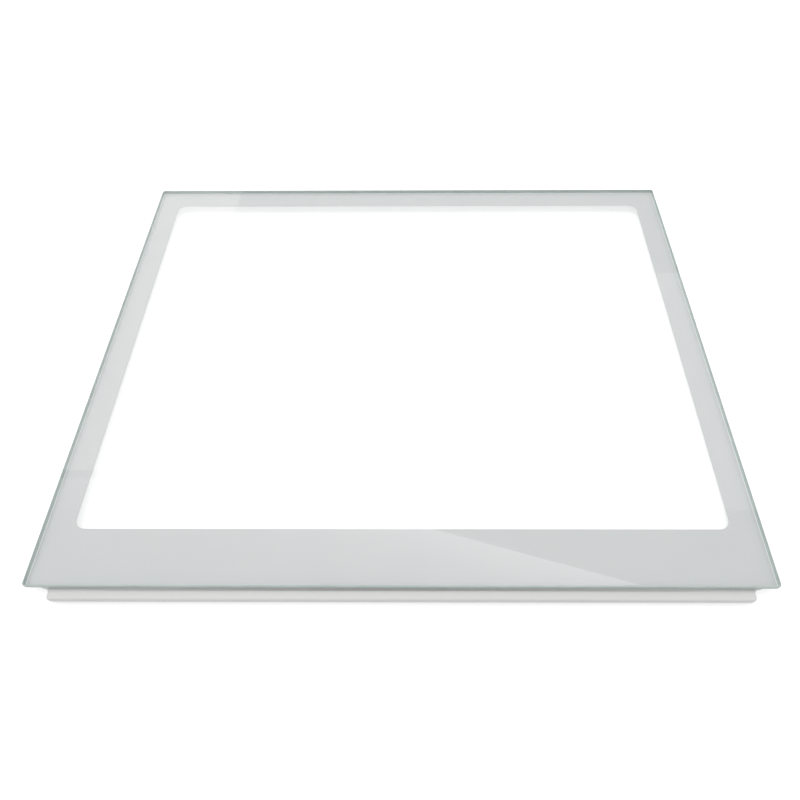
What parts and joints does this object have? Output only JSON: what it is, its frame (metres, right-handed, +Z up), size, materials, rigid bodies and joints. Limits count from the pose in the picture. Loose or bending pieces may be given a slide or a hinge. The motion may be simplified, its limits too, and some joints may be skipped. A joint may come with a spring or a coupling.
{
  "type": "refrigerator shelf",
  "caption": "Flat glass refrigerator shelf with a white border printed round a clear window and a slim white moulded front trim with a rounded nose.",
  "frame": {"origin": "centre of the footprint, on the plane that the front trim stands on", "axes": "+X to the right along the front edge, +Y from the front edge to the rear edge, +Z up through the glass"},
  "size_m": [0.53, 0.438, 0.013],
  "materials": {
    "clear_glass": "clear tempered float glass with ground edges",
    "white_print": "white fired print seen through the glass",
    "grey_tape": "matt closed-cell foam tape",
    "white_moulding": "smooth white moulded plastic, satin gloss"
  },
  "bodies": {
    "root": {"glass_panel": "clear_glass", "printed_border": "white_print", "bonding_tape": "grey_tape", "front_trim": "white_moulding"}
  },
  "joints": []
}
